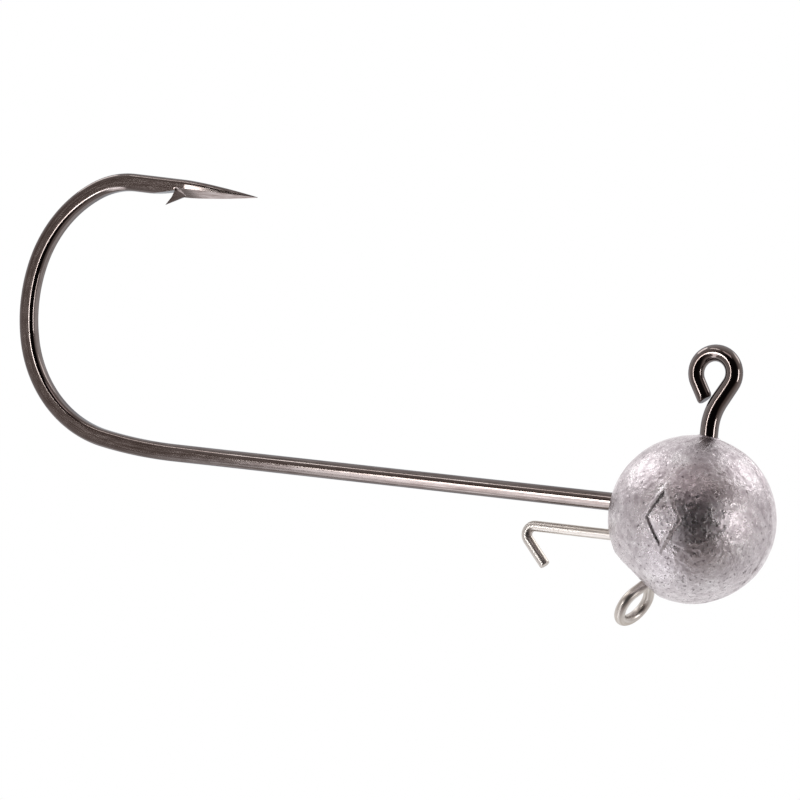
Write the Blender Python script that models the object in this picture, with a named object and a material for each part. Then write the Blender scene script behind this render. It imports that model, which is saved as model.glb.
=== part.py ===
"""Ball jig head: a lead ball cast round an up-eye forged hook and a bent keeper wire.

Lengths are metres.  The hook lies in the XZ plane.  +X points to the nose of the
ball, +Z points up the stem, and the origin is the middle of the line eye.
"""

import math

import bmesh
import bpy
from mathutils import Quaternion, Vector

MM = 0.001

# Lead ball
BALL_RADIUS = 6.75 * MM
BALL_CENTRE = Vector((-0.69, 0.0, -11.79)) * MM
BALL_COLUMNS = 44
BALL_ROWS = 26
GATE_WAY = Vector((-0.59, -0.23, -0.77))  # the flat left by the cut-off casting gate faces this way
GATE_DEPTH = 0.50 * MM
MARK_HALF_WIDTH = 1.7 * MM
MARK_HALF_HEIGHT = 2.9 * MM
MARK_LINE = 0.55 * MM
MARK_RAISE = 0.16 * MM
MARK_SIDE_STEPS = 3  # points along each side of the diamond
CAST_GAP = 0.30 * MM  # between a wire and the lead round it

# Hook wire
HOOK_WIRE = 1.50 * MM
EYE_TAIL_WIRE = 1.28 * MM
EYE_RADIUS = 1.62 * MM
EYE_SWEEP = 240.0
EYE_TAIL = 1.40 * MM
EYE_TAIL_SLANT = 0.45  # the tail is cut off aslant, longer on its outer side
EYE_TAPER_SHARE = 1.3  # the wire is back to full thickness this many eye lengths from the cut
EYE_LEAN = 30.0
EYE_NECK_RADIUS = 4.5 * MM
SHANK_ABOVE_BALL_CENTRE = 0.69 * MM
CORNER_RADIUS = 1.6 * MM
BEND_START_X = -48.34 * MM
BEND_ARCS = ((43.2, 9.4), (10.5, 66.5), (13.4, 29.9), (10.9, 45.05), (7.16, 30.0))
POINT_DROP = 1.4  # degrees the point turns on past the bend
POINT_DROP_RADIUS = 10.0 * MM
POINT_LENGTH = 11.9 * MM
POINT_TAPER = 6.9 * MM
POINT_FULLNESS = 1.45  # 1 is a straight cone, more is a fuller point
TIP_WIRE = 0.08 * MM

# The bend and the point are forged flat on both sides
FORGED_DEPTH = 1.53 * MM
FORGED_WIDTH = 1.26 * MM
FORGED_SQUARENESS = 3.4
FORGED_FROM = 6.5 * MM  # the flats fade in over this length before the bend

# Barb corners, in millimetres back from the tip and down from the middle of the point
BARB_OUTLINE = ((6.3, 0.42), (8.78, 1.56), (7.78, 0.30), (7.2, -0.05))
SLIT_OUTLINE = ((9.35, 0.60), (7.85, 0.26), (7.55, 0.36), (7.70, 1.50), (9.35, 1.50))
BARB_WIDTHS = (0.80 * MM, 0.10 * MM, 0.70 * MM, 0.80 * MM)
SLIT_WIDTH = 1.60 * MM

# Keeper wire, with the stinger eye at its other end
KEEPER_WIRE = 0.90 * MM
KEEPER_BELOW_BALL_CENTRE = 1.97 * MM
KEEPER_SPIKE_X = -14.20 * MM
KEEPER_SPIKE_RADIUS = 0.70 * MM
KEEPER_SPIKE_ANGLE = 132.0
KEEPER_SPIKE = 2.45 * MM
STINGER_ANGLE = 240.0  # the way the stinger eye sticks out of the ball
STINGER_TURN_RADIUS = 1.2 * MM
STINGER_TWIST = 8.5  # the eye stands this far off square to the hook plane
STINGER_RADIUS = 1.60 * MM
STINGER_CENTRE = 8.43 * MM  # from the middle of the ball
STINGER_LEAN = 42.0
STINGER_NECK_RADIUS = 1.3 * MM
STINGER_TAIL = 1.05 * MM

HOOK_SIDES = 16
KEEPER_SIDES = 16
DEGREES_PER_RING = 12.0
BEND_RING_SPACING = 0.9 * MM


class Wire:
    """The middle line of a bent wire, made of straight runs and round bends."""

    def __init__(self, start, ahead, axis):
        self.place = Vector(start)
        self.ahead = Vector(ahead).normalized()
        self.axis = Vector(axis).normalized()
        self.travel = 0.0
        self.rings = []
        self.keep()

    def keep(self):
        self.rings.append((self.travel, self.place.copy(), self.ahead.copy(), self.axis.copy()))

    def run(self, length, steps=1):
        for _ in range(steps):
            self.place = self.place + self.ahead * (length / steps)
            self.travel += length / steps
            self.keep()

    def bend(self, radius, degrees, spacing=DEGREES_PER_RING):
        """Turn about the axis: a positive angle is clockwise as seen from -Y."""
        steps = max(2, math.ceil(abs(degrees) / spacing))
        turn = Quaternion(self.axis, math.radians(degrees) / steps)
        way = math.copysign(1.0, degrees)
        for _ in range(steps):
            arm = self.axis.cross(self.ahead) * (radius * way)
            self.place = self.place + arm - turn @ arm
            self.ahead = turn @ self.ahead
            self.travel += radius * math.radians(abs(degrees)) / steps
            self.keep()

    def twist(self, degrees):
        self.axis = Quaternion(self.ahead, math.radians(degrees)) @ self.axis


def smooth_step(value, low, high):
    share = min(max((value - low) / (high - low), 0.0), 1.0)
    return share * share * (3.0 - 2.0 * share)


def mesh_object(name, shape, material):
    mesh = bpy.data.meshes.new(name)
    bmesh.ops.recalc_face_normals(shape, faces=shape.faces)
    shape.to_mesh(mesh)
    shape.free()
    thing = bpy.data.objects.new(name, mesh)
    bpy.context.collection.objects.link(thing)
    if material:
        mesh.materials.append(material)
    for face in mesh.polygons:
        face.use_smooth = True
    return thing


def sweep(name, rings, section, sides, material=None, slant=0.0):
    """Skin a wire: section(travel) gives its depth, its width and its squareness."""
    shape = bmesh.new()
    loops = []
    for travel, place, ahead, axis in rings:
        depth, width, squareness = section(travel)
        up = ahead.cross(axis)
        power = 2.0 / squareness
        loop = []
        for index in range(sides):
            angle = 2.0 * math.pi * index / sides
            across = math.copysign(abs(math.cos(angle)) ** power, math.cos(angle))
            along = math.copysign(abs(math.sin(angle)) ** power, math.sin(angle))
            offset = axis * (across * width / 2) + up * (along * depth / 2)
            if travel == 0.0:
                offset = offset - ahead * (along * slant * depth / 2)
            loop.append(shape.verts.new(place + offset))
        loops.append(loop)
    for first, second in zip(loops, loops[1:]):
        for index in range(sides):
            after = (index + 1) % sides
            shape.faces.new((first[index], first[after], second[after], second[index]))
    shape.faces.new(loops[0])
    shape.faces.new(loops[-1])
    return mesh_object(name, shape, material)


def prism(name, outline, widths):
    """A plate standing in the hook plane, with its own width at each corner."""
    shape = bmesh.new()
    near = [shape.verts.new((x, -width / 2, z)) for (x, z), width in zip(outline, widths)]
    far = [shape.verts.new((x, width / 2, z)) for (x, z), width in zip(outline, widths)]
    shape.faces.new(near)
    shape.faces.new(far)
    for index in range(len(outline)):
        after = (index + 1) % len(outline)
        shape.faces.new((near[index], near[after], far[after], far[index]))
    return mesh_object(name, shape, None)


def combine(thing, tool, operation):
    step = thing.modifiers.new(tool.name, "BOOLEAN")
    step.operation = operation
    step.solver = "EXACT"
    step.object = tool
    tool.hide_render = True
    tool.display_type = "WIRE"


def metal(name, colour, roughness):
    material = bpy.data.materials.new(name)
    material.use_nodes = True
    shader = material.node_tree.nodes["Principled BSDF"]
    shader.inputs["Base Color"].default_value = (*colour, 1.0)
    shader.inputs["Metallic"].default_value = 1.0
    shader.inputs["Roughness"].default_value = roughness
    return material


def hook_path():
    """From the tail of the line eye, down the stem, along the shank to the tip."""
    lean = math.radians(EYE_LEAN)
    neck = (EYE_RADIUS * math.cos(lean) - EYE_NECK_RADIUS * (1 - math.cos(lean))) / math.sin(lean)
    stem_top = -(EYE_RADIUS + EYE_NECK_RADIUS) * math.sin(lean) - neck * math.cos(lean)
    shank_z = BALL_CENTRE.z + SHANK_ABOVE_BALL_CENTRE
    tail_way = math.radians(EYE_SWEEP - EYE_LEAN + 90.0)
    tail_ahead = Vector((-math.cos(tail_way), 0.0, -math.sin(tail_way)))
    eye_end = Vector((math.sin(tail_way), 0.0, -math.cos(tail_way))) * EYE_RADIUS
    wire = Wire(eye_end - tail_ahead * EYE_TAIL, tail_ahead, (0, 1, 0))
    wire.run(EYE_TAIL, steps=2)
    wire.bend(EYE_RADIUS, EYE_SWEEP)
    wire.run(neck)
    wire.bend(EYE_NECK_RADIUS, -EYE_LEAN)
    wire.run(stem_top - shank_z - CORNER_RADIUS)
    wire.bend(CORNER_RADIUS, 90.0)
    wire.run(wire.place.x - BEND_START_X - FORGED_FROM)
    wire.run(FORGED_FROM, steps=4)
    bend_start = wire.travel
    for radius, degrees in BEND_ARCS:
        wire.bend(radius * MM, degrees, math.degrees(BEND_RING_SPACING / (radius * MM)))
    wire.bend(POINT_DROP_RADIUS, POINT_DROP)
    wire.run(POINT_LENGTH - POINT_TAPER, steps=2)
    wire.run(POINT_TAPER, steps=10)
    return wire, bend_start


def hook_section(wire, bend_start, gap=0.0):
    eye_taper = EYE_TAPER_SHARE * (EYE_TAIL + EYE_RADIUS * math.radians(EYE_SWEEP))

    def section(travel):
        wide = EYE_TAIL_WIRE + (HOOK_WIRE - EYE_TAIL_WIRE) * smooth_step(travel, 0.0, eye_taper)
        forged = smooth_step(travel, bend_start - FORGED_FROM, bend_start + FORGED_FROM)
        depth = wide + (FORGED_DEPTH - HOOK_WIRE) * forged
        width = wide + (FORGED_WIDTH - HOOK_WIRE) * forged
        squareness = 2.0 + (FORGED_SQUARENESS - 2.0) * forged
        left = min(max((wire.travel - travel) / POINT_TAPER, 0.0), 1.0)
        taper = 1.0 - (1.0 - left) ** POINT_FULLNESS
        depth = TIP_WIRE + (depth - TIP_WIRE) * taper
        width = TIP_WIRE + (width - TIP_WIRE) * taper
        return depth + 2 * gap, width + 2 * gap, squareness

    return section


def keeper_path():
    """From the cut end of the keeper spike, through the ball, round the stinger eye."""
    lean = math.radians(STINGER_LEAN)
    out = math.radians(STINGER_ANGLE)
    start_turn = 360.0 - STINGER_ANGLE
    reach = STINGER_TURN_RADIUS * math.tan(math.radians(start_turn / 2))
    corner_x = BALL_CENTRE.x - KEEPER_BELOW_BALL_CENTRE * math.cos(out) / math.sin(out)
    corner_from_middle = -KEEPER_BELOW_BALL_CENTRE / math.sin(out)
    neck_side = STINGER_RADIUS * math.cos(lean) - STINGER_NECK_RADIUS * (1 - math.cos(lean))
    neck = neck_side / math.sin(lean)
    eye_rise = (STINGER_RADIUS + STINGER_NECK_RADIUS) * math.sin(lean) + neck * math.cos(lean)
    run_z = BALL_CENTRE.z - KEEPER_BELOW_BALL_CENTRE

    spike_way = math.radians(KEEPER_SPIKE_ANGLE)
    wire = Wire((0, 0, 0), (math.cos(spike_way), 0, math.sin(spike_way)), (0, 1, 0))
    wire.run(KEEPER_SPIKE)
    wire.bend(KEEPER_SPIKE_RADIUS, KEEPER_SPIKE_ANGLE)
    shift = Vector((KEEPER_SPIKE_X, 0.0, run_z)) - wire.place
    wire.rings = [(t, p + shift, a, s) for t, p, a, s in wire.rings]
    wire.place = wire.place + shift
    wire.run(corner_x - reach - wire.place.x)
    wire.bend(STINGER_TURN_RADIUS, start_turn)
    wire.run(STINGER_CENTRE - eye_rise - corner_from_middle - reach)
    wire.twist(90.0 + STINGER_TWIST)
    wire.rings.pop()
    wire.keep()
    wire.bend(STINGER_NECK_RADIUS, STINGER_LEAN)
    wire.run(neck)
    wire.bend(STINGER_RADIUS, -(180.0 + 2 * STINGER_LEAN))
    wire.run(STINGER_TAIL)
    return wire


def round_section(diameter):
    return lambda travel: (diameter, diameter, 2.0)


def ball():
    shape = bmesh.new()
    bmesh.ops.create_uvsphere(shape, u_segments=BALL_COLUMNS, v_segments=BALL_ROWS, radius=BALL_RADIUS)
    bmesh.ops.translate(shape, verts=shape.verts, vec=BALL_CENTRE)
    return mesh_object("lead_head", shape, metal("cast_lead", (0.42, 0.40, 0.42), 0.42))


def raised_mark():
    """A plain diamond outline, raised on both sides of the ball."""
    shape = bmesh.new()
    reach = BALL_RADIUS + MARK_RAISE
    rings = []
    for half_width, half_height in (
        (MARK_HALF_WIDTH, MARK_HALF_HEIGHT),
        (MARK_HALF_WIDTH - MARK_LINE, MARK_HALF_HEIGHT - MARK_LINE * MARK_HALF_HEIGHT / MARK_HALF_WIDTH),
    ):
        corners = ((half_width, 0.0), (0.0, half_height), (-half_width, 0.0), (0.0, -half_height))
        for side in (-1.0, 1.0):
            ring = []
            for (x, z), (next_x, next_z) in zip(corners, corners[1:] + corners[:1]):
                for step in range(MARK_SIDE_STEPS):
                    share = step / MARK_SIDE_STEPS
                    px = x + (next_x - x) * share
                    pz = z + (next_z - z) * share
                    py = side * math.sqrt(reach**2 - px**2 - pz**2)
                    ring.append(shape.verts.new(BALL_CENTRE + Vector((px, py, pz))))
            rings.append(ring)
    outer_near, outer_far, inner_near, inner_far = rings
    for first, second in (
        (outer_near, outer_far),
        (inner_far, inner_near),
        (inner_near, outer_near),
        (outer_far, inner_far),
    ):
        for index in range(len(first)):
            after = (index + 1) % len(first)
            shape.faces.new((first[index], first[after], second[after], second[index]))
    return mesh_object("mark_tool", shape, None)


def gate_cutter():
    """A block whose inner face is the flat left where the casting gate was cut off."""
    shape = bmesh.new()
    bmesh.ops.create_cube(shape, size=2 * BALL_RADIUS)
    out = GATE_WAY.normalized()
    turn = out.to_track_quat("Z", "Y").to_matrix()
    bmesh.ops.rotate(shape, verts=shape.verts, matrix=turn)
    shift = BALL_CENTRE + out * (2 * BALL_RADIUS - GATE_DEPTH)
    bmesh.ops.translate(shape, verts=shape.verts, vec=shift)
    return mesh_object("gate_tool", shape, None)


def point_outline(wire, outline):
    """Turn (back, down) pairs measured from the tip into hook-plane coordinates."""
    tip = wire.place
    down = wire.axis.cross(wire.ahead)
    corners = []
    for back, drop in outline:
        corner = tip - wire.ahead * (back * MM) + down * (drop * MM)
        corners.append((corner.x, corner.z))
    return corners


for leftover in list(bpy.data.objects):
    bpy.data.objects.remove(leftover)

hook_wire, forged_start = hook_path()
hook = sweep(
    "jig_hook",
    hook_wire.rings,
    hook_section(hook_wire, forged_start),
    HOOK_SIDES,
    metal("black_nickel", (0.09, 0.08, 0.08), 0.22),
    EYE_TAIL_SLANT,
)
slit = prism("slit_tool", point_outline(hook_wire, SLIT_OUTLINE), [SLIT_WIDTH] * len(SLIT_OUTLINE))
barb = prism("barb_tool", point_outline(hook_wire, BARB_OUTLINE), BARB_WIDTHS)
combine(hook, slit, "DIFFERENCE")
combine(hook, barb, "UNION")

keeper_line = keeper_path()
keeper = sweep(
    "keeper_wire",
    keeper_line.rings,
    round_section(KEEPER_WIRE),
    KEEPER_SIDES,
    metal("bright_steel", (0.55, 0.53, 0.51), 0.18),
)

head = ball()
hook_channel = sweep(
    "hook_channel_tool",
    hook_wire.rings,
    hook_section(hook_wire, forged_start, CAST_GAP),
    HOOK_SIDES,
)
keeper_channel = sweep(
    "keeper_channel_tool",
    keeper_line.rings,
    round_section(KEEPER_WIRE + 2 * CAST_GAP),
    KEEPER_SIDES,
)
combine(head, raised_mark(), "UNION")
combine(head, gate_cutter(), "DIFFERENCE")
combine(head, hook_channel, "DIFFERENCE")
combine(head, keeper_channel, "DIFFERENCE")
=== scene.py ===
"""Looks for the jig head: a cast lead ball, a forged black-nickel hook and a bright keeper wire.

Everything is in metres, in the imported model's frame: the hook lies in the XZ plane, +X is the
nose of the ball, +Z is up the stem, and the origin is the middle of the line eye.
"""

import math

import bmesh
import bpy
import numpy as np
from mathutils import Matrix, Quaternion, Vector, noise


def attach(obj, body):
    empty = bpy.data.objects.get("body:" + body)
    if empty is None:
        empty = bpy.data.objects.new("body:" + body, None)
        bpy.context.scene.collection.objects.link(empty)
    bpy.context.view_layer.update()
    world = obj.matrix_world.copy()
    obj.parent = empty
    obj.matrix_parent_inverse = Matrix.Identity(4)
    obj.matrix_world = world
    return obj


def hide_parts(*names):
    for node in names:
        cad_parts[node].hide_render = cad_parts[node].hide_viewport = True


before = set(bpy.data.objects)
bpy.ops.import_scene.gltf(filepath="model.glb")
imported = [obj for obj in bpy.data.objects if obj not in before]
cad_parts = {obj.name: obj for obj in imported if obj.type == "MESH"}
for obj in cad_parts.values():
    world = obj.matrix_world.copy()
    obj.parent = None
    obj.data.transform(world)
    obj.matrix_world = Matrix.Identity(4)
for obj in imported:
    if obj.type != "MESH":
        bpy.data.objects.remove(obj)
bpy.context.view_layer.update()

MM = 0.001

# Lead ball
BALL_RADIUS = 6.71 * MM
BALL_CENTRE = Vector((-0.69, 0.0, -11.79)) * MM
BALL_GRID = 150  # squares along each edge of the cube that the ball is blown up from
SKIN_SCALES = (3.1, 11.0, 34.0)  # dents, ripples and grain: noise cells across the radius
SKIN_DENTS = 0.020  # the lift of each, in millimetres
SKIN_RIPPLES = 0.009
SKIN_GRAIN = 0.008
GATE_WAY = Vector((-0.59, -0.23, -0.77)).normalized()
GATE_DEPTH = 0.49 * MM
MARK_HALF_WIDTH = 1.425 * MM  # to the middle of the raised line
MARK_HALF_HEIGHT = 2.43 * MM
MARK_LINE = 0.36 * MM
MARK_SLOPE = (0.28, 0.72)  # where the line's side starts to fall and where it ends, in line widths
MARK_RAISE = 0.14 * MM
GATE_ROUGH = 0.06 * MM
GATE_EDGE = 0.05 * MM  # how far the edge of the flat is rounded
SCAR_COUNT = 46
SCAR_SEED = 11
SCAR_LEAST = (0.3, 0.07, 0.014)  # length, half width and depth, in millimetres
SCAR_MOST = (1.5, 0.13, 0.045)
SEAM_WIDTH = 0.12 * MM
SEAM_RAISE = 0.035 * MM
SEAM_HOLLOW = 0.055 * MM
HOLLOW_OFFSET = 2.2  # from the seam to the hollow beside it, in seam widths
HOLLOW_SPREAD = 1.3  # also in seam widths
HOLLOW_UNEVEN = 1.2
COLLAR_WIDTH = 0.42 * MM
COLLAR_RAISE = 0.12 * MM
COLLAR_REACH = 3.0 * MM

# Hook wire
HOOK_WIRE = 1.48 * MM
EYE_TAIL_WIRE = 1.27 * MM
EYE_RADIUS = 1.62 * MM
EYE_SWEEP = 240.0
EYE_TAIL = 1.34 * MM
EYE_TAIL_SLANT = 0.18  # the tail is cut off aslant
EYE_TAPER_SHARE = 1.3  # the wire is back to full thickness this many eye lengths from the cut
EYE_LEAN = 30.0
EYE_NECK_RADIUS = 4.5 * MM
SHANK_ABOVE_BALL_CENTRE = 0.69 * MM
CORNER_RADIUS = 1.6 * MM
BEND_START_X = -48.34 * MM
# The bend's arcs: radius in millimetres and angle in degrees
BEND_ARCS = ((43.2, 9.4), (10.5, 66.5), (13.4, 29.9), (10.9, 45.05), (7.16, 30.0))
POINT_DROP = 1.4  # degrees the point turns on past the bend
POINT_DROP_RADIUS = 10.0 * MM
POINT_LENGTH = 11.9 * MM
POINT_TAPER = 6.9 * MM
TIP_WIRE = 0.05 * MM
POINT_FULLNESS = 1.45  # above 1 the taper starts gently and swells before the tip
POINT_SIDE_FULLNESS = 1.22
FORGED_DEPTH = 1.51 * MM
FORGED_WIDTH = 1.25 * MM
FORGED_CORNER = 0.40 * MM
FORGED_FROM = 7.5 * MM
TIP_CORNER = 0.55  # the corners' share of their roundness that is left at the tip
GROUND_NONE = 1.75  # facet cuts at the point: across / width + along / depth stays under this
GROUND_UNDER = 1.0
GROUND_OVER = 1.30
UNDER_FACET_FROM = -0.90 * MM  # the lower facets cut in here, just before the taper starts
UNDER_FACET_TO = -0.70 * MM

# Corners in millimetres back from the tip and down from the middle of the point; the barb's
# corners each have a width too
BARB = (
    (6.9, 0.64, 0.20), (8.80, 1.57, 0.06), (8.15, 0.86, 0.60), (7.80, 0.28, 1.06), (7.1, 0.10, 0.96),
)
SLIT = (
    (11.0, 0.78), (10.3, 0.74), (9.7, 0.67), (9.2, 0.585), (8.7, 0.48), (8.2, 0.365), (7.8, 0.28),
    (7.6, 0.29), (7.55, 0.42), (7.85, 1.50), (11.0, 1.50),
)
SLIT_WIDTH = 1.70

# Keeper wire
KEEPER_WIRE = 0.88 * MM
KEEPER_BELOW_BALL_CENTRE = 1.97 * MM
KEEPER_SPIKE_X = -14.20 * MM
KEEPER_SPIKE_RADIUS = 0.70 * MM
KEEPER_SPIKE_ANGLE = 132.0
KEEPER_SPIKE = 2.45 * MM
STINGER_ANGLE = 240.0
STINGER_TURN_RADIUS = 1.2 * MM
STINGER_TWIST = 8.5
STINGER_RADIUS = 1.60 * MM
STINGER_CENTRE = 8.43 * MM
STINGER_LEAN = 42.0
STINGER_NECK_RADIUS = 1.3 * MM
STINGER_TAIL = 1.05 * MM

WIRE_SIDES = 64
RING_SPACING = 0.22 * MM
STRAIGHT_SPACING = 0.6 * MM
POINT_SPACING = 0.16 * MM
SHARP_ANGLE = 28.0
CAP_STEPS = ((0.10, 0.45), (0.30, 0.82), (0.62, 1.0))  # inset and rise, as shares of the rounding
HOOK_ROUNDING = 0.42  # of the wire's cut ends
KEEPER_ROUNDING = 0.25

# Metals: colours, some with their place along the noise that they follow, and roughness
WHITE = (1.0, 1.0, 1.0)
LEAD_COLOURS = ((0.30, (0.50, 0.45, 0.47)), (0.52, (0.65, 0.60, 0.62)), (0.72, (0.78, 0.75, 0.76)))
LEAD_TARNISH = ((0.36, (0.64, 0.60, 0.62)), (0.54, WHITE))
LEAD_TARNISH_SHARE = 0.85
LEAD_UNDERSIDE = (0.75, 0.74, 0.745)
LEAD_SPECKS = ((0.29, (0.30, 0.28, 0.29)), (0.35, WHITE))
LEAD_SPECK_SHARE = 0.9
SPECKS_BELOW = 0.045  # how much more of the underside is speckled
SPECKLED_FROM = 0.3  # heights over the ball's centre, in radii
SPECKLED_FULLY = -0.8
PALE_BELOW = 6.5  # times SPECKS_BELOW: the paler colour's share at the bottom
LEAD_ROUGHNESS = (0.35, 0.21)
LEAD_PIT_SCALE = 1400
LEAD_PIT_WIDTH = 0.34
BLACK_NICKEL = {
    "dark": (0.198, 0.168, 0.157),
    "light": (0.272, 0.240, 0.228),
    "streak": (0.56, 0.50, 0.48),
    "edge": (0.58, 0.62, 0.66),
    "roughness": 0.095,
}
BRIGHT_STEEL = {
    "dark": (0.62, 0.583, 0.540),
    "light": (0.74, 0.708, 0.670),
    "streak": (0.80, 0.76, 0.71),
    "edge": (0.70, 0.70, 0.70),
    "roughness": 0.34,
}
WIRE_STREAK_SHARE = 0.85
WIRE_ROUGHNESS_SPREAD = (0.90, 1.15)
WORN_ROUGHER = 0.03
DRAW_MARK_STRENGTH = 0.02

# Camera: it looks level and is rolled a little; its azimuth is counted from -Y towards +X
CAMERA_AZIMUTH = 26.0
CAMERA_ROLL = 5.8
CAMERA_DISTANCE = 310.0 * MM
CAMERA_AIM = Vector((-27.568, 0.0, -4.669)) * MM
CAMERA_LENS = 168.2
CAMERA_SENSOR = 36.0
FLOOR_Z = -0.115
FLOOR_RADIUS = 0.42
FLOOR_SIDES = 96
FLOOR_COLOUR = (0.80, 0.78, 0.785)
FLOOR_ROUGHNESS = 0.8
FLOOR_GLOW_COLOUR = (1.0, 0.975, 0.98)
FLOOR_GLOW = 0.25

# Studio: the room's colour against the angle, in degrees, from the camera's side
ROOM_COLOURS = (
    (0, (0.0095, 0.0076, 0.0082)),
    (38, (0.014, 0.011, 0.012)),
    (46, (0.090, 0.074, 0.072)),
    (54, (0.300, 0.250, 0.235)),
    (75, (0.500, 0.460, 0.460)),
    (90, (0.575, 0.560, 0.565)),
    (112, (0.86, 0.84, 0.85)),
    (130, (1.05, 1.03, 1.035)),
    (180, (1.05, 1.03, 1.035)),
)
ROOM_TILT = 5.0  # how far above the camera the middle of the dark side sits, in degrees
STRIP_TINT = (0.96, 0.98, 1.03)
FRONT_TINT = (1.0, 0.88, 0.91)
LIGHT_DISTANCE = 2.5
LIGHT_AIM = Vector((-20.0, 0.0, -6.0)) * MM


class Wire:
    """The middle line of a bent wire, made of straight runs and round bends."""

    def __init__(self, start, ahead, axis):
        self.place = Vector(start)
        self.ahead = Vector(ahead).normalized()
        self.axis = Vector(axis).normalized()
        self.travel = 0.0
        self.rings = []
        self.keep()

    def keep(self):
        self.rings.append((self.travel, self.place.copy(), self.ahead.copy(), self.axis.copy()))

    def run(self, length, spacing=STRAIGHT_SPACING):
        steps = max(1, math.ceil(length / spacing))
        for _ in range(steps):
            self.place = self.place + self.ahead * (length / steps)
            self.travel += length / steps
            self.keep()

    def bend(self, radius, degrees):
        """Turn about the axis: a positive angle is clockwise as seen from -Y."""
        steps = max(3, math.ceil(radius * math.radians(abs(degrees)) / RING_SPACING))
        turn = Quaternion(self.axis, math.radians(degrees) / steps)
        way = math.copysign(1.0, degrees)
        for _ in range(steps):
            arm = self.axis.cross(self.ahead) * (radius * way)
            self.place = self.place + arm - turn @ arm
            self.ahead = turn @ self.ahead
            self.travel += radius * math.radians(abs(degrees)) / steps
            self.keep()

    def twist(self, degrees):
        self.axis = Quaternion(self.ahead, math.radians(degrees)) @ self.axis
        self.rings.pop()
        self.keep()


def smooth_step(value, low, high):
    share = min(max((value - low) / (high - low), 0.0), 1.0)
    return share * share * (3.0 - 2.0 * share)


def ramp_between(value, low, high):
    return min(max((value - low) / (high - low), 0.0), 1.0)


def mix(first, second, share):
    return first + (second - first) * share


def mesh_object(name, shape, material):
    mesh = bpy.data.meshes.new(name)
    shape.to_mesh(mesh)
    shape.free()
    thing = bpy.data.objects.new(name, mesh)
    bpy.context.collection.objects.link(thing)
    mesh.materials.append(material)
    mesh.shade_smooth()
    return thing


def sweep(name, rings, section, material, slant, rounding):
    """Skin a wire. section(travel) gives a list of (across, along) points. Each vertex also
    stores where it would be if the wire were straight, which the metals' draw marks follow. The
    ends are closed with caps rounded by the given share of the wire's radius."""
    shape = bmesh.new()
    straight = shape.verts.layers.float_vector.new("straight")
    loops = []
    for travel, place, ahead, axis in rings:
        up = ahead.cross(axis)
        loop = []
        for across, along in section(travel):
            offset = axis * across + up * along
            if travel == 0.0:
                offset = offset - ahead * (along * slant)
            vert = shape.verts.new(place + offset)
            vert[straight] = Vector((travel, across, along)) / MM
            loop.append(vert)
        loops.append(loop)
    count = len(loops[0])
    for first, second in zip(loops, loops[1:]):
        for index in range(count):
            after = (index + 1) % count
            shape.faces.new((first[index], first[after], second[after], second[index]))
    for loop, end in ((loops[0], 0), (loops[-1], -1)):
        travel, place, ahead, axis = rings[end]
        way = -1.0 if end == 0 else 1.0
        middle = sum((v.co for v in loop), Vector()) / count
        outer = loop
        for inset, rise in CAP_STEPS:
            inner = []
            for vert in loop:
                radius = (vert.co - middle).length
                spot = mix(vert.co, middle, inset * rounding) + ahead * (way * rise * rounding * radius)
                fresh = shape.verts.new(spot)
                fresh[straight] = vert[straight]
                inner.append(fresh)
            for index in range(count):
                after = (index + 1) % count
                shape.faces.new((outer[index], outer[after], inner[after], inner[index]))
            outer = inner
        shape.faces.new(outer)
    bmesh.ops.recalc_face_normals(shape, faces=shape.faces)
    return mesh_object(name, shape, material)


def prism(name, outline, material):
    """A plate standing in the hook plane, with its own width at each corner."""
    shape = bmesh.new()
    near = [shape.verts.new((x, -width / 2, z)) for x, z, width in outline]
    far = [shape.verts.new((x, width / 2, z)) for x, z, width in outline]
    shape.faces.new(near)
    shape.faces.new(far)
    for index in range(len(outline)):
        after = (index + 1) % len(outline)
        shape.faces.new((near[index], near[after], far[after], far[index]))
    bmesh.ops.recalc_face_normals(shape, faces=shape.faces)
    return mesh_object(name, shape, material)


def combine(thing, tool, operation):
    """Join or cut with the tool for good, then throw the tool away."""
    step = thing.modifiers.new(tool.name, "BOOLEAN")
    step.operation = operation
    step.solver = "EXACT"
    step.object = tool
    bpy.context.view_layer.update()
    solid = thing.evaluated_get(bpy.context.evaluated_depsgraph_get())
    mesh = bpy.data.meshes.new_from_object(solid)
    thing.modifiers.clear()
    mesh.set_sharp_from_angle(angle=math.radians(SHARP_ANGLE))
    thing.data = mesh
    bpy.data.objects.remove(tool)


def hook_path():
    """From the tail of the line eye, down the stem, along the shank to the tip."""
    lean = math.radians(EYE_LEAN)
    neck = (EYE_RADIUS * math.cos(lean) - EYE_NECK_RADIUS * (1 - math.cos(lean))) / math.sin(lean)
    stem_top = -(EYE_RADIUS + EYE_NECK_RADIUS) * math.sin(lean) - neck * math.cos(lean)
    shank_z = BALL_CENTRE.z + SHANK_ABOVE_BALL_CENTRE
    tail_way = math.radians(EYE_SWEEP - EYE_LEAN + 90.0)
    tail_ahead = Vector((-math.cos(tail_way), 0.0, -math.sin(tail_way)))
    eye_end = Vector((math.sin(tail_way), 0.0, -math.cos(tail_way))) * EYE_RADIUS
    wire = Wire(eye_end - tail_ahead * EYE_TAIL, tail_ahead, (0, 1, 0))
    wire.run(EYE_TAIL, RING_SPACING)
    wire.bend(EYE_RADIUS, EYE_SWEEP)
    wire.run(neck)
    wire.bend(EYE_NECK_RADIUS, -EYE_LEAN)
    wire.run(stem_top - shank_z - CORNER_RADIUS)
    wire.bend(CORNER_RADIUS, 90.0)
    wire.run(wire.place.x - BEND_START_X)
    bend_start = wire.travel
    for radius, degrees in BEND_ARCS:
        wire.bend(radius * MM, degrees)
    wire.bend(POINT_DROP_RADIUS, POINT_DROP)
    wire.run(POINT_LENGTH, POINT_SPACING)
    return wire, bend_start


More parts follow.
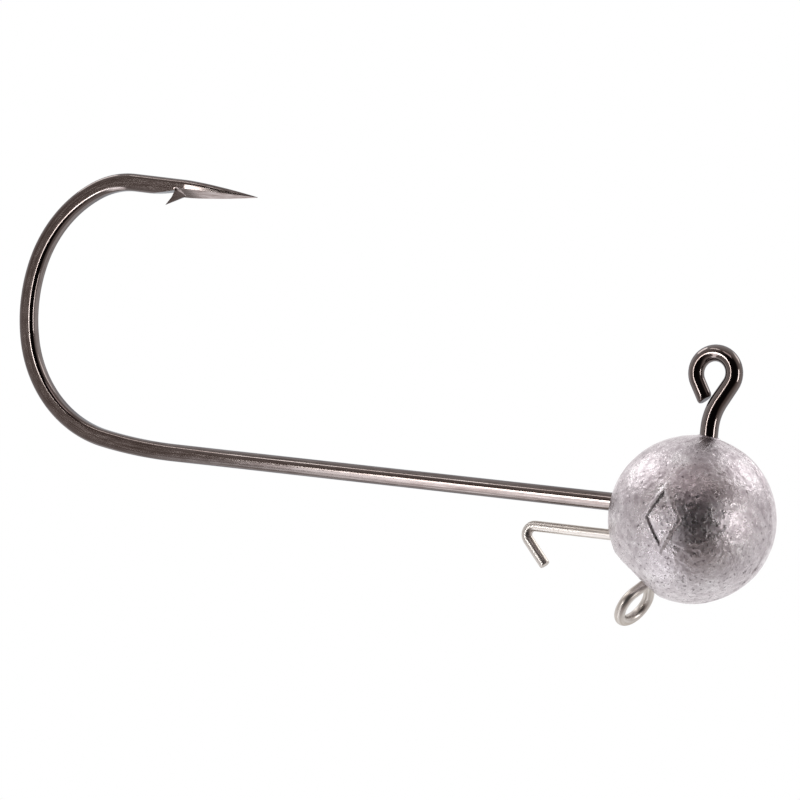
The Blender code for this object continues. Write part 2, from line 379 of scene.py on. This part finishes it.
def box_reach(cos, sin, width, depth, corner):
    """How far a box with round corners reaches from its middle, in the way (cos, sin)."""
    if cos > 0 and width * sin / cos <= depth - corner:
        return width / cos
    if sin > 0 and depth * cos / sin <= width - corner:
        return depth / sin
    ahead = (width - corner) * cos + (depth - corner) * sin
    middle = (width - corner) ** 2 + (depth - corner) ** 2
    return ahead + math.sqrt(max(ahead * ahead - middle + corner * corner, 0.0))


def hook_section(wire, bend_start):
    """Round in the eye and shank, a box with round corners in the bend, and ground at the point."""
    eye_taper = EYE_TAPER_SHARE * (EYE_TAIL + EYE_RADIUS * math.radians(EYE_SWEEP))
    angles = [2.0 * math.pi * index / WIRE_SIDES for index in range(WIRE_SIDES)]

    def section(travel):
        wide = mix(EYE_TAIL_WIRE, HOOK_WIRE, smooth_step(travel, 0.0, eye_taper)) / 2
        forged = smooth_step(travel, bend_start - FORGED_FROM, bend_start + FORGED_FROM)
        depth = mix(wide, FORGED_DEPTH / 2, forged)
        width = mix(wide, FORGED_WIDTH / 2, forged)
        corner = mix(wide, FORGED_CORNER, forged)
        back = wire.travel - travel
        left = ramp_between(back, 0.0, POINT_TAPER)
        depth = mix(TIP_WIRE / 2, depth, 1.0 - (1.0 - left) ** POINT_FULLNESS)
        width = mix(TIP_WIRE / 2, width, 1.0 - (1.0 - left) ** POINT_SIDE_FULLNESS)
        corner = min(corner, depth, width) * mix(TIP_CORNER, 1.0, left)
        tapered = POINT_TAPER - back
        under_cut = ramp_between(tapered, UNDER_FACET_FROM, UNDER_FACET_TO)
        under = mix(GROUND_NONE, GROUND_UNDER, under_cut)
        over = mix(GROUND_NONE, GROUND_OVER, ramp_between(tapered, 0.0, POINT_TAPER))
        points = []
        for angle in angles:
            cos, sin = math.cos(angle), math.sin(angle)
            limit = over if sin > 0 else under
            ground = limit / (abs(cos) / width + abs(sin) / depth)
            reach = min(ground, box_reach(abs(cos), abs(sin), width, depth, corner))
            points.append((reach * cos, reach * sin))
        return points

    return section


def keeper_path():
    """From the cut end of the keeper spike, through the ball, round the stinger eye."""
    lean = math.radians(STINGER_LEAN)
    out = math.radians(STINGER_ANGLE)
    turn = 360.0 - STINGER_ANGLE
    reach = STINGER_TURN_RADIUS * math.tan(math.radians(turn / 2))
    corner_x = BALL_CENTRE.x - KEEPER_BELOW_BALL_CENTRE * math.cos(out) / math.sin(out)
    corner_from_middle = -KEEPER_BELOW_BALL_CENTRE / math.sin(out)
    neck_side = STINGER_RADIUS * math.cos(lean) - STINGER_NECK_RADIUS * (1 - math.cos(lean))
    neck = neck_side / math.sin(lean)
    eye_rise = (STINGER_RADIUS + STINGER_NECK_RADIUS) * math.sin(lean) + neck * math.cos(lean)
    run_z = BALL_CENTRE.z - KEEPER_BELOW_BALL_CENTRE
    spike_way = math.radians(KEEPER_SPIKE_ANGLE)
    wire = Wire((0, 0, 0), (math.cos(spike_way), 0, math.sin(spike_way)), (0, 1, 0))
    wire.run(KEEPER_SPIKE)
    wire.bend(KEEPER_SPIKE_RADIUS, KEEPER_SPIKE_ANGLE)
    shift = Vector((KEEPER_SPIKE_X, 0.0, run_z)) - wire.place
    wire.rings = [(t, p + shift, a, s) for t, p, a, s in wire.rings]
    wire.place = wire.place + shift
    wire.run(corner_x - reach - wire.place.x)
    wire.bend(STINGER_TURN_RADIUS, turn)
    wire.run(STINGER_CENTRE - eye_rise - corner_from_middle - reach)
    wire.twist(90.0 + STINGER_TWIST)
    wire.bend(STINGER_NECK_RADIUS, STINGER_LEAN)
    wire.run(neck, RING_SPACING)
    wire.bend(STINGER_RADIUS, -(180.0 + 2 * STINGER_LEAN))
    wire.run(STINGER_TAIL, RING_SPACING)
    return wire


def round_section(diameter):
    turn = [2.0 * math.pi * index / WIRE_SIDES for index in range(WIRE_SIDES)]
    points = [(diameter / 2 * math.cos(a), diameter / 2 * math.sin(a)) for a in turn]
    return lambda travel: points


def exits(rings):
    """Where a wire's middle line comes out of the ball, and which way it then goes."""
    found = []
    for before, after in zip(rings, rings[1:]):
        was = (before[1] - BALL_CENTRE).length - BALL_RADIUS
        now = (after[1] - BALL_CENTRE).length - BALL_RADIUS
        if was * now < 0:
            found.append((before[1].lerp(after[1], was / (was - now)), after[2]))
    return found


def ease(value, low, high):
    share = np.clip((value - low) / (high - low), 0.0, 1.0)
    return share * share * (3.0 - 2.0 * share)


def ball_grid():
    """A cube grid, and the way each of its vertices lies from the middle once it is a ball."""
    shape = bmesh.new()
    bmesh.ops.create_cube(shape, size=2.0)
    bmesh.ops.subdivide_edges(shape, edges=shape.edges, cuts=BALL_GRID - 1, use_grid_fill=True)
    way = np.array([v.co for v in shape.verts])
    way = np.tan(way * (math.pi / 4))
    way /= np.linalg.norm(way, axis=1)[:, None]
    return shape, way


def casting_skin(way):
    """Shallow dents and ripples, and how uneven the surface is at each place."""
    lift = np.empty(len(way))
    rough = np.empty(len(way))
    dents_scale, ripples_scale, grain_scale = SKIN_SCALES
    for index, (x, y, z) in enumerate(way):
        place = Vector((x, y, z))
        dents = noise.noise(place * dents_scale)
        ripples = noise.noise(place * ripples_scale + Vector((7, 0, 3)))
        grain = noise.noise(place * grain_scale + Vector((1, 9, 4)))
        low = 0.5 + 0.5 * min(max(-z * 1.6, 0.0), 1.0)
        lift[index] = SKIN_DENTS * dents + SKIN_RIPPLES * ripples + SKIN_GRAIN * low * grain
        rough[index] = ripples + 0.6 * grain
    return lift * MM, rough


def tumbling_scars(spot):
    """The depth of the scrapes from tumbling against other heads."""
    random = np.random.RandomState(SCAR_SEED)
    total = np.zeros(len(spot))
    for _ in range(SCAR_COUNT):
        middle = random.normal(size=3)
        middle /= np.linalg.norm(middle)
        along = np.cross(middle, random.normal(size=3))
        along /= np.linalg.norm(along)
        length, half_width, depth = random.uniform(SCAR_LEAST, SCAR_MOST) * MM
        off = spot - middle * BALL_RADIUS
        travel = np.clip(off @ along, -length / 2, length / 2)
        away = np.linalg.norm(off - np.outer(travel, along), axis=1)
        total += depth * np.exp(-((away / half_width) ** 2))
    return total


def raised_diamond(spot):
    """A diamond outline, raised on both sides of the ball."""
    slope = math.hypot(1 / MARK_HALF_WIDTH, 1 / MARK_HALF_HEIGHT)
    edge = np.abs(spot[:, 0]) / MARK_HALF_WIDTH + np.abs(spot[:, 2]) / MARK_HALF_HEIGHT
    off_line = np.abs(edge - 1.0) / slope
    flat, foot = MARK_SLOPE
    return MARK_RAISE * (1.0 - ease(off_line, MARK_LINE * flat, MARK_LINE * foot))


def mould_seam(spot, rough):
    """The seam of the two mould halves: a line between two trimmed, uneven hollows."""
    line = SEAM_RAISE * np.exp(-((spot[:, 1] / SEAM_WIDTH) ** 2))
    beside = (np.abs(spot[:, 1]) - HOLLOW_OFFSET * SEAM_WIDTH) / (HOLLOW_SPREAD * SEAM_WIDTH)
    uneven = np.clip(0.55 + HOLLOW_UNEVEN * rough, 0.1, 1.5)
    return line - SEAM_HOLLOW * uneven * np.exp(-(beside**2))


def wire_collars(spot, collars):
    """Lead drawn up round the wires where they come out."""
    total = np.zeros(len(spot))
    for (place, ahead), radius in collars:
        away = spot - np.array(place - BALL_CENTRE)
        ahead = np.array(ahead)
        aside = np.linalg.norm(away - np.outer(away @ ahead, ahead), axis=1)
        on_this_side = np.linalg.norm(away, axis=1) < COLLAR_REACH
        near = on_this_side * (1.0 - ease(aside, radius, radius + COLLAR_WIDTH))
        total += COLLAR_RAISE * near * near
    return total


def gate_flat(spot, rough):
    """Cut the surface back to the flat where the casting gate was, with a soft edge."""
    gate = np.array(GATE_WAY)
    over = spot @ gate - (BALL_RADIUS - GATE_DEPTH + GATE_ROUGH * rough)
    cut = np.where(over > -GATE_EDGE, (over + GATE_EDGE) ** 2 / (4 * GATE_EDGE), 0.0)
    cut = np.where(over > GATE_EDGE, over, cut)
    return spot - np.outer(cut, gate)


def cast_ball(name, collars, material):
    """A ball blown up from a cube grid, with its cast details pushed in or out of the surface."""
    shape, way = ball_grid()
    spot = way * BALL_RADIUS
    lift, rough = casting_skin(way)
    lift -= tumbling_scars(spot)
    lift += raised_diamond(spot) + mould_seam(spot, rough) + wire_collars(spot, collars)
    spot = gate_flat(spot + way * lift[:, None], rough)
    for vert, place in zip(shape.verts, spot):
        vert.co = BALL_CENTRE + Vector(place)
    return mesh_object(name, shape, material)


def set_stops(band, stops):
    """Give a colour ramp its (place, colour) stops."""
    while len(band.elements) < len(stops):
        band.elements.new(0.5)
    for element, (place, colour) in zip(band.elements, stops):
        element.position = place
        element.color = (*colour, 1.0)


class Nodes:
    """A short way to wire up a metal's shader."""

    def __init__(self, name):
        self.material = bpy.data.materials.new(name)
        self.material.use_nodes = True
        self.tree = self.material.node_tree
        self.shader = self.tree.nodes["Principled BSDF"]

    def add(self, kind, **settings):
        node = self.tree.nodes.new(kind)
        for key, value in settings.items():
            setattr(node, key, value)
        return node

    def feed(self, socket, value):
        """Set a socket to a number or a colour, or link another node's output to it."""
        if isinstance(value, (int, float)):
            socket.default_value = value
        elif isinstance(value, tuple):
            socket.default_value = (*value, 1.0)
        else:
            self.tree.links.new(value, socket)

    def noise(self, where, scale, detail, roughness):
        node = self.add("ShaderNodeTexNoise")
        self.feed(node.inputs["Scale"], scale)
        self.feed(node.inputs["Detail"], detail)
        self.feed(node.inputs["Roughness"], roughness)
        self.feed(node.inputs["Vector"], where)
        return node.outputs["Fac"]

    def stretch(self, where, scale):
        node = self.add("ShaderNodeMapping")
        node.inputs["Scale"].default_value = scale
        self.feed(node.inputs["Vector"], where)
        return node.outputs["Vector"]

    def ramp(self, value, stops):
        node = self.add("ShaderNodeValToRGB")
        set_stops(node.color_ramp, stops)
        self.feed(node.inputs["Fac"], value)
        return node.outputs["Color"]

    def range(self, value, low, high, to_low, to_high):
        node = self.add("ShaderNodeMapRange")
        limits = {"From Min": low, "From Max": high, "To Min": to_low, "To Max": to_high}
        for key, number in limits.items():
            node.inputs[key].default_value = number
        self.feed(node.inputs["Value"], value)
        return node.outputs["Result"]

    def maths(self, operation, first, second):
        node = self.add("ShaderNodeMath", operation=operation)
        self.feed(node.inputs[0], first)
        self.feed(node.inputs[1], second)
        return node.outputs["Value"]

    def blend(self, mode, share, first, second):
        node = self.add("ShaderNodeMix", data_type="RGBA", blend_type=mode)
        factor, colour_a, colour_b = node.inputs[0], node.inputs[6], node.inputs[7]
        self.feed(factor, share)
        self.feed(colour_a, first)
        self.feed(colour_b, second)
        return node.outputs[2]

    def bump(self, height, strength, distance, normal=None):
        node = self.add("ShaderNodeBump")
        self.feed(node.inputs["Strength"], strength)
        self.feed(node.inputs["Distance"], distance)
        self.feed(node.inputs["Height"], height)
        if normal:
            self.feed(node.inputs["Normal"], normal)
        return node.outputs["Normal"]


def cast_lead():
    """Dull silver-grey lead with a cast skin: small dents that glint, pits and dark specks."""
    n = Nodes("cast_lead")
    where = n.add("ShaderNodeTexCoord").outputs["Object"]
    broad = n.noise(where, scale=520, detail=5, roughness=0.6)
    cloudy = n.noise(where, scale=1500, detail=6, roughness=0.65)
    hammered = n.noise(where, scale=2600, detail=3, roughness=0.55)
    grain = n.noise(where, scale=7000, detail=4, roughness=0.65)
    colour = n.ramp(broad, LEAD_COLOURS)
    colour = n.blend("MULTIPLY", LEAD_TARNISH_SHARE, colour, n.ramp(cloudy, LEAD_TARNISH))

    # the underside is paler and has most of the specks
    height = n.add("ShaderNodeSeparateXYZ")
    n.feed(height.inputs["Vector"], where)
    bottom = BALL_CENTRE.z + SPECKLED_FULLY * BALL_RADIUS
    top = BALL_CENTRE.z + SPECKLED_FROM * BALL_RADIUS
    under = n.range(height.outputs["Z"], bottom, top, SPECKS_BELOW, 0.0)
    colour = n.blend("MIX", n.maths("MULTIPLY", under, PALE_BELOW), colour, LEAD_UNDERSIDE)
    speck_noise = n.maths("SUBTRACT", n.noise(where, scale=4300, detail=2, roughness=0.5), under)
    colour = n.blend("MULTIPLY", LEAD_SPECK_SHARE, colour, n.ramp(speck_noise, LEAD_SPECKS))
    n.feed(n.shader.inputs["Base Color"], colour)
    n.feed(n.shader.inputs["Metallic"], 1.0)
    n.feed(n.shader.inputs["Roughness"], n.range(cloudy, 0.3, 0.7, *LEAD_ROUGHNESS))

    pits = n.add("ShaderNodeTexVoronoi")
    n.feed(pits.inputs["Scale"], LEAD_PIT_SCALE)
    n.feed(pits.inputs["Vector"], where)
    deep = n.range(pits.outputs["Distance"], 0.0, LEAD_PIT_WIDTH, 0.0, 1.0)
    normal = n.bump(grain, strength=0.55, distance=0.05 * MM)
    normal = n.bump(hammered, strength=0.55, distance=0.10 * MM, normal=normal)
    normal = n.bump(cloudy, strength=0.50, distance=0.15 * MM, normal=normal)
    normal = n.bump(deep, strength=0.40, distance=0.08 * MM, normal=normal)
    n.feed(n.shader.inputs["Normal"], normal)
    return n.material


def drawn_wire(name, dark, light, streak, edge, roughness):
    """Plated wire: fine marks along its length, with small patches of wear."""
    n = Nodes(name)
    straight = n.add("ShaderNodeAttribute", attribute_name="straight").outputs["Vector"]
    lines = n.noise(n.stretch(straight, (0.25, 22, 22)), scale=1.0, detail=3, roughness=0.6)
    patches = n.noise(n.stretch(straight, (0.9, 3.5, 3.5)), scale=1.0, detail=5, roughness=0.6)
    grain = n.noise(n.stretch(straight, (9, 18, 18)), scale=1.0, detail=3, roughness=0.5)
    colour = n.ramp(patches, ((0.32, dark), (0.70, light)))
    streaks = n.noise(n.stretch(straight, (0.12, 9, 9)), scale=1.0, detail=4, roughness=0.6)
    streaks = n.ramp(streaks, ((0.38, streak), (0.55, WHITE)))
    n.feed(n.shader.inputs["Base Color"], n.blend("MULTIPLY", WIRE_STREAK_SHARE, colour, streaks))
    n.feed(n.shader.inputs["Metallic"], 1.0)
    n.feed(n.shader.inputs["Specular Tint"], edge)
    smoothest, roughest = (roughness * share for share in WIRE_ROUGHNESS_SPREAD)
    drawn = n.range(lines, 0.3, 0.7, smoothest, roughest)
    worn = n.range(patches, 0.4, 0.7, 0.0, WORN_ROUGHER)
    n.feed(n.shader.inputs["Roughness"], n.maths("ADD", drawn, worn))
    normal = n.bump(lines, strength=DRAW_MARK_STRENGTH, distance=0.01 * MM)
    normal = n.bump(grain, strength=DRAW_MARK_STRENGTH * 0.4, distance=0.005 * MM, normal=normal)
    n.feed(n.shader.inputs["Normal"], normal)
    return n.material


def from_camera(azimuth, elevation):
    """The way out to a place given by its angles in degrees, the azimuth from the camera's."""
    around, over = math.radians(azimuth + CAMERA_AZIMUTH), math.radians(elevation)
    flat = math.cos(over)
    return Vector((math.sin(around) * flat, -math.cos(around) * flat, math.sin(over)))


def room():
    """White to the camera; to the metals, dark where the camera stands and bright behind."""
    world = bpy.data.worlds.new("studio")
    bpy.context.scene.world = world
    world.use_nodes = True
    tree = world.node_tree
    tree.nodes.clear()
    out = tree.nodes.new("ShaderNodeOutputWorld")
    seen = tree.nodes.new("ShaderNodeBackground")
    seen.inputs["Color"].default_value = (*WHITE, 1.0)
    mirrored = tree.nodes.new("ShaderNodeBackground")
    path = tree.nodes.new("ShaderNodeLightPath")
    choose = tree.nodes.new("ShaderNodeMixShader")
    tree.links.new(path.outputs["Is Camera Ray"], choose.inputs["Fac"])
    tree.links.new(mirrored.outputs["Background"], choose.inputs[1])
    tree.links.new(seen.outputs["Background"], choose.inputs[2])
    tree.links.new(choose.outputs["Shader"], out.inputs["Surface"])

    where = tree.nodes.new("ShaderNodeTexCoord")
    facing = tree.nodes.new("ShaderNodeVectorMath")
    facing.operation = "DOT_PRODUCT"
    facing.inputs[1].default_value = from_camera(0.0, ROOM_TILT)
    tree.links.new(where.outputs["Generated"], facing.inputs[0])
    half = tree.nodes.new("ShaderNodeMapRange")
    half.inputs["From Min"].default_value = -1.0
    tree.links.new(facing.outputs["Value"], half.inputs["Value"])
    shade = tree.nodes.new("ShaderNodeValToRGB")
    stops = [((1.0 + math.cos(math.radians(angle))) / 2, colour) for angle, colour in ROOM_COLOURS]
    set_stops(shade.color_ramp, sorted(stops))
    tree.links.new(half.outputs["Result"], shade.inputs["Fac"])
    tree.links.new(shade.outputs["Color"], mirrored.inputs["Color"])


def pale_floor():
    """A pale disc well under the object, which the metals don't mirror."""
    mesh = bpy.data.meshes.new("floor")
    turn = [2 * math.pi * index / FLOOR_SIDES for index in range(FLOOR_SIDES)]
    rim = [(FLOOR_RADIUS * math.cos(a), FLOOR_RADIUS * math.sin(a), FLOOR_Z) for a in turn]
    mesh.from_pydata(rim, [], [range(FLOOR_SIDES)])
    sheet = bpy.data.objects.new("floor", mesh)
    bpy.context.collection.objects.link(sheet)
    n = Nodes("pale_floor")
    n.feed(n.shader.inputs["Base Color"], FLOOR_COLOUR)
    n.feed(n.shader.inputs["Roughness"], FLOOR_ROUGHNESS)
    n.feed(n.shader.inputs["Emission Color"], FLOOR_GLOW_COLOUR)
    n.feed(n.shader.inputs["Emission Strength"], FLOOR_GLOW)
    mesh.materials.append(n.material)
    sheet.visible_glossy = False
    sheet.visible_shadow = False


def softbox(name, azimuth, elevation, wide, tall, brightness, tint=WHITE, roll=0.0):
    """An area light round the object. Azimuth is counted from the camera, to its right, and
    wide and tall are the angles it fills as the object sees it."""
    way = from_camera(azimuth, elevation)
    light = bpy.data.lights.new(name, "AREA")
    light.shape = "RECTANGLE"
    light.size = 2 * LIGHT_DISTANCE * math.tan(math.radians(wide / 2))
    light.size_y = 2 * LIGHT_DISTANCE * math.tan(math.radians(tall / 2))
    light.energy = brightness * math.pi * light.size * light.size_y
    light.color = tint
    lamp = bpy.data.objects.new(name, light)
    lamp.location = LIGHT_AIM + way * LIGHT_DISTANCE
    lamp.rotation_mode = "QUATERNION"
    lamp.rotation_quaternion = way.to_track_quat("Z", "Y") @ Quaternion((0, 0, 1), math.radians(roll))
    bpy.context.collection.objects.link(lamp)


def shank_strip(name, along, below, wide, tall, brightness):
    """A softbox on the camera's side whose tall side runs round the shank's own axis. `along` is
    its place along X, as a share of its distance, and `below` its angle under the shank."""
    turn = math.radians(below)
    reach = math.sqrt(1.0 - along * along)
    way = Vector((along, -reach * math.cos(turn), -reach * math.sin(turn)))
    round_shank = Vector((0.0, -math.sin(turn), math.cos(turn)))
    upright = (Vector((0.0, 0.0, 1.0)) - way * way.z).normalized()
    azimuth = math.degrees(math.atan2(way.x, -way.y)) - CAMERA_AZIMUTH
    elevation = math.degrees(math.asin(way.z))
    roll = math.degrees(math.atan2(upright.cross(round_shank).dot(way), upright.dot(round_shank)))
    softbox(name, azimuth, elevation, wide, tall, brightness, STRIP_TINT, roll)


def lights():
    """The softboxes that the metals mirror, and the two strips under the shank."""
    softbox("left_box", azimuth=-50, elevation=-2, wide=5, tall=14, brightness=13.0)
    shank_strip("left_strip", along=-0.41, below=28, wide=8, tall=40, brightness=3.3)
    shank_strip("low_strip", along=-0.36, below=68, wide=14, tall=40, brightness=1.75)
    softbox("left_top", azimuth=-62, elevation=50, wide=22, tall=5, brightness=4.5)
    softbox("front_top", azimuth=-14, elevation=48, wide=26, tall=12, brightness=1.6, tint=FRONT_TINT)
    softbox("right_strip", azimuth=57, elevation=1, wide=7, tall=34, brightness=9.6)
    softbox("back_left", azimuth=-116, elevation=40, wide=26, tall=20, brightness=2.8)
    softbox("back_right", azimuth=114, elevation=42, wide=30, tall=22, brightness=2.3)


def camera():
    azimuth, roll = math.radians(CAMERA_AZIMUTH), math.radians(CAMERA_ROLL)
    right = Vector((math.cos(azimuth), math.sin(azimuth), 0.0))
    back = Vector((math.sin(azimuth), -math.cos(azimuth), 0.0))
    up = Vector((0.0, 0.0, 1.0))
    side = right * math.cos(roll) + up * math.sin(roll)
    top = up * math.cos(roll) - right * math.sin(roll)
    lens = bpy.data.cameras.new("camera")
    lens.lens = CAMERA_LENS
    lens.sensor_width = CAMERA_SENSOR
    lens.clip_start = 0.01
    lens.clip_end = 20.0
    eye = bpy.data.objects.new("camera", lens)
    place = Matrix.Translation(CAMERA_AIM + back * CAMERA_DISTANCE)
    eye.matrix_world = place @ Matrix((side, top, back)).transposed().to_4x4()
    bpy.context.collection.objects.link(eye)
    bpy.context.scene.camera = eye


def on_point(wire, corners):
    """Turn (back, down, width) corners, in millimetres from the tip, into a plate's outline."""
    down = wire.axis.cross(wire.ahead)
    outline = []
    for back, drop, width in corners:
        corner = wire.place - wire.ahead * (back * MM) + down * (drop * MM)
        outline.append((corner.x, corner.z, width * MM))
    return outline


def forged_hook(wire, bend_start):
    """The hook, with its barb cut up from the underside of the point."""
    metal = drawn_wire("black_nickel", **BLACK_NICKEL)
    section = hook_section(wire, bend_start)
    thing = sweep("hook", wire.rings, section, metal, EYE_TAIL_SLANT, HOOK_ROUNDING)
    slit = [(back, drop, SLIT_WIDTH) for back, drop in SLIT]
    combine(thing, prism("slit_tool", on_point(wire, slit), metal), "DIFFERENCE")
    combine(thing, prism("barb_tool", on_point(wire, BARB), metal), "UNION")
    return thing


def bent_keeper(wire):
    """The keeper spike and the stinger eye, the two ends of one wire."""
    metal = drawn_wire("bright_steel", **BRIGHT_STEEL)
    section = round_section(KEEPER_WIRE)
    return sweep("keeper_and_stinger", wire.rings, section, metal, 0.0, KEEPER_ROUNDING)


hook_wire, forged_start = hook_path()
keeper_line = keeper_path()
hook = forged_hook(hook_wire, forged_start)
keeper = bent_keeper(keeper_line)
collars = [(spot, HOOK_WIRE / 2) for spot in exits(hook_wire.rings)]
collars += [(spot, KEEPER_WIRE / 2) for spot in exits(keeper_line.rings)]
ball = cast_ball("lead_ball", collars, cast_lead())

for piece, node, slot in (
    (hook, "jig_hook", "black_nickel"),
    (keeper, "keeper_wire", "bright_steel"),
    (ball, "lead_head", "cast_lead"),
):
    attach(piece, "root")
    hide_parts(node)

room()
pale_floor()
lights()
camera()
bpy.context.scene.view_settings.view_transform = "Standard"

bpy.context.view_layer.update()
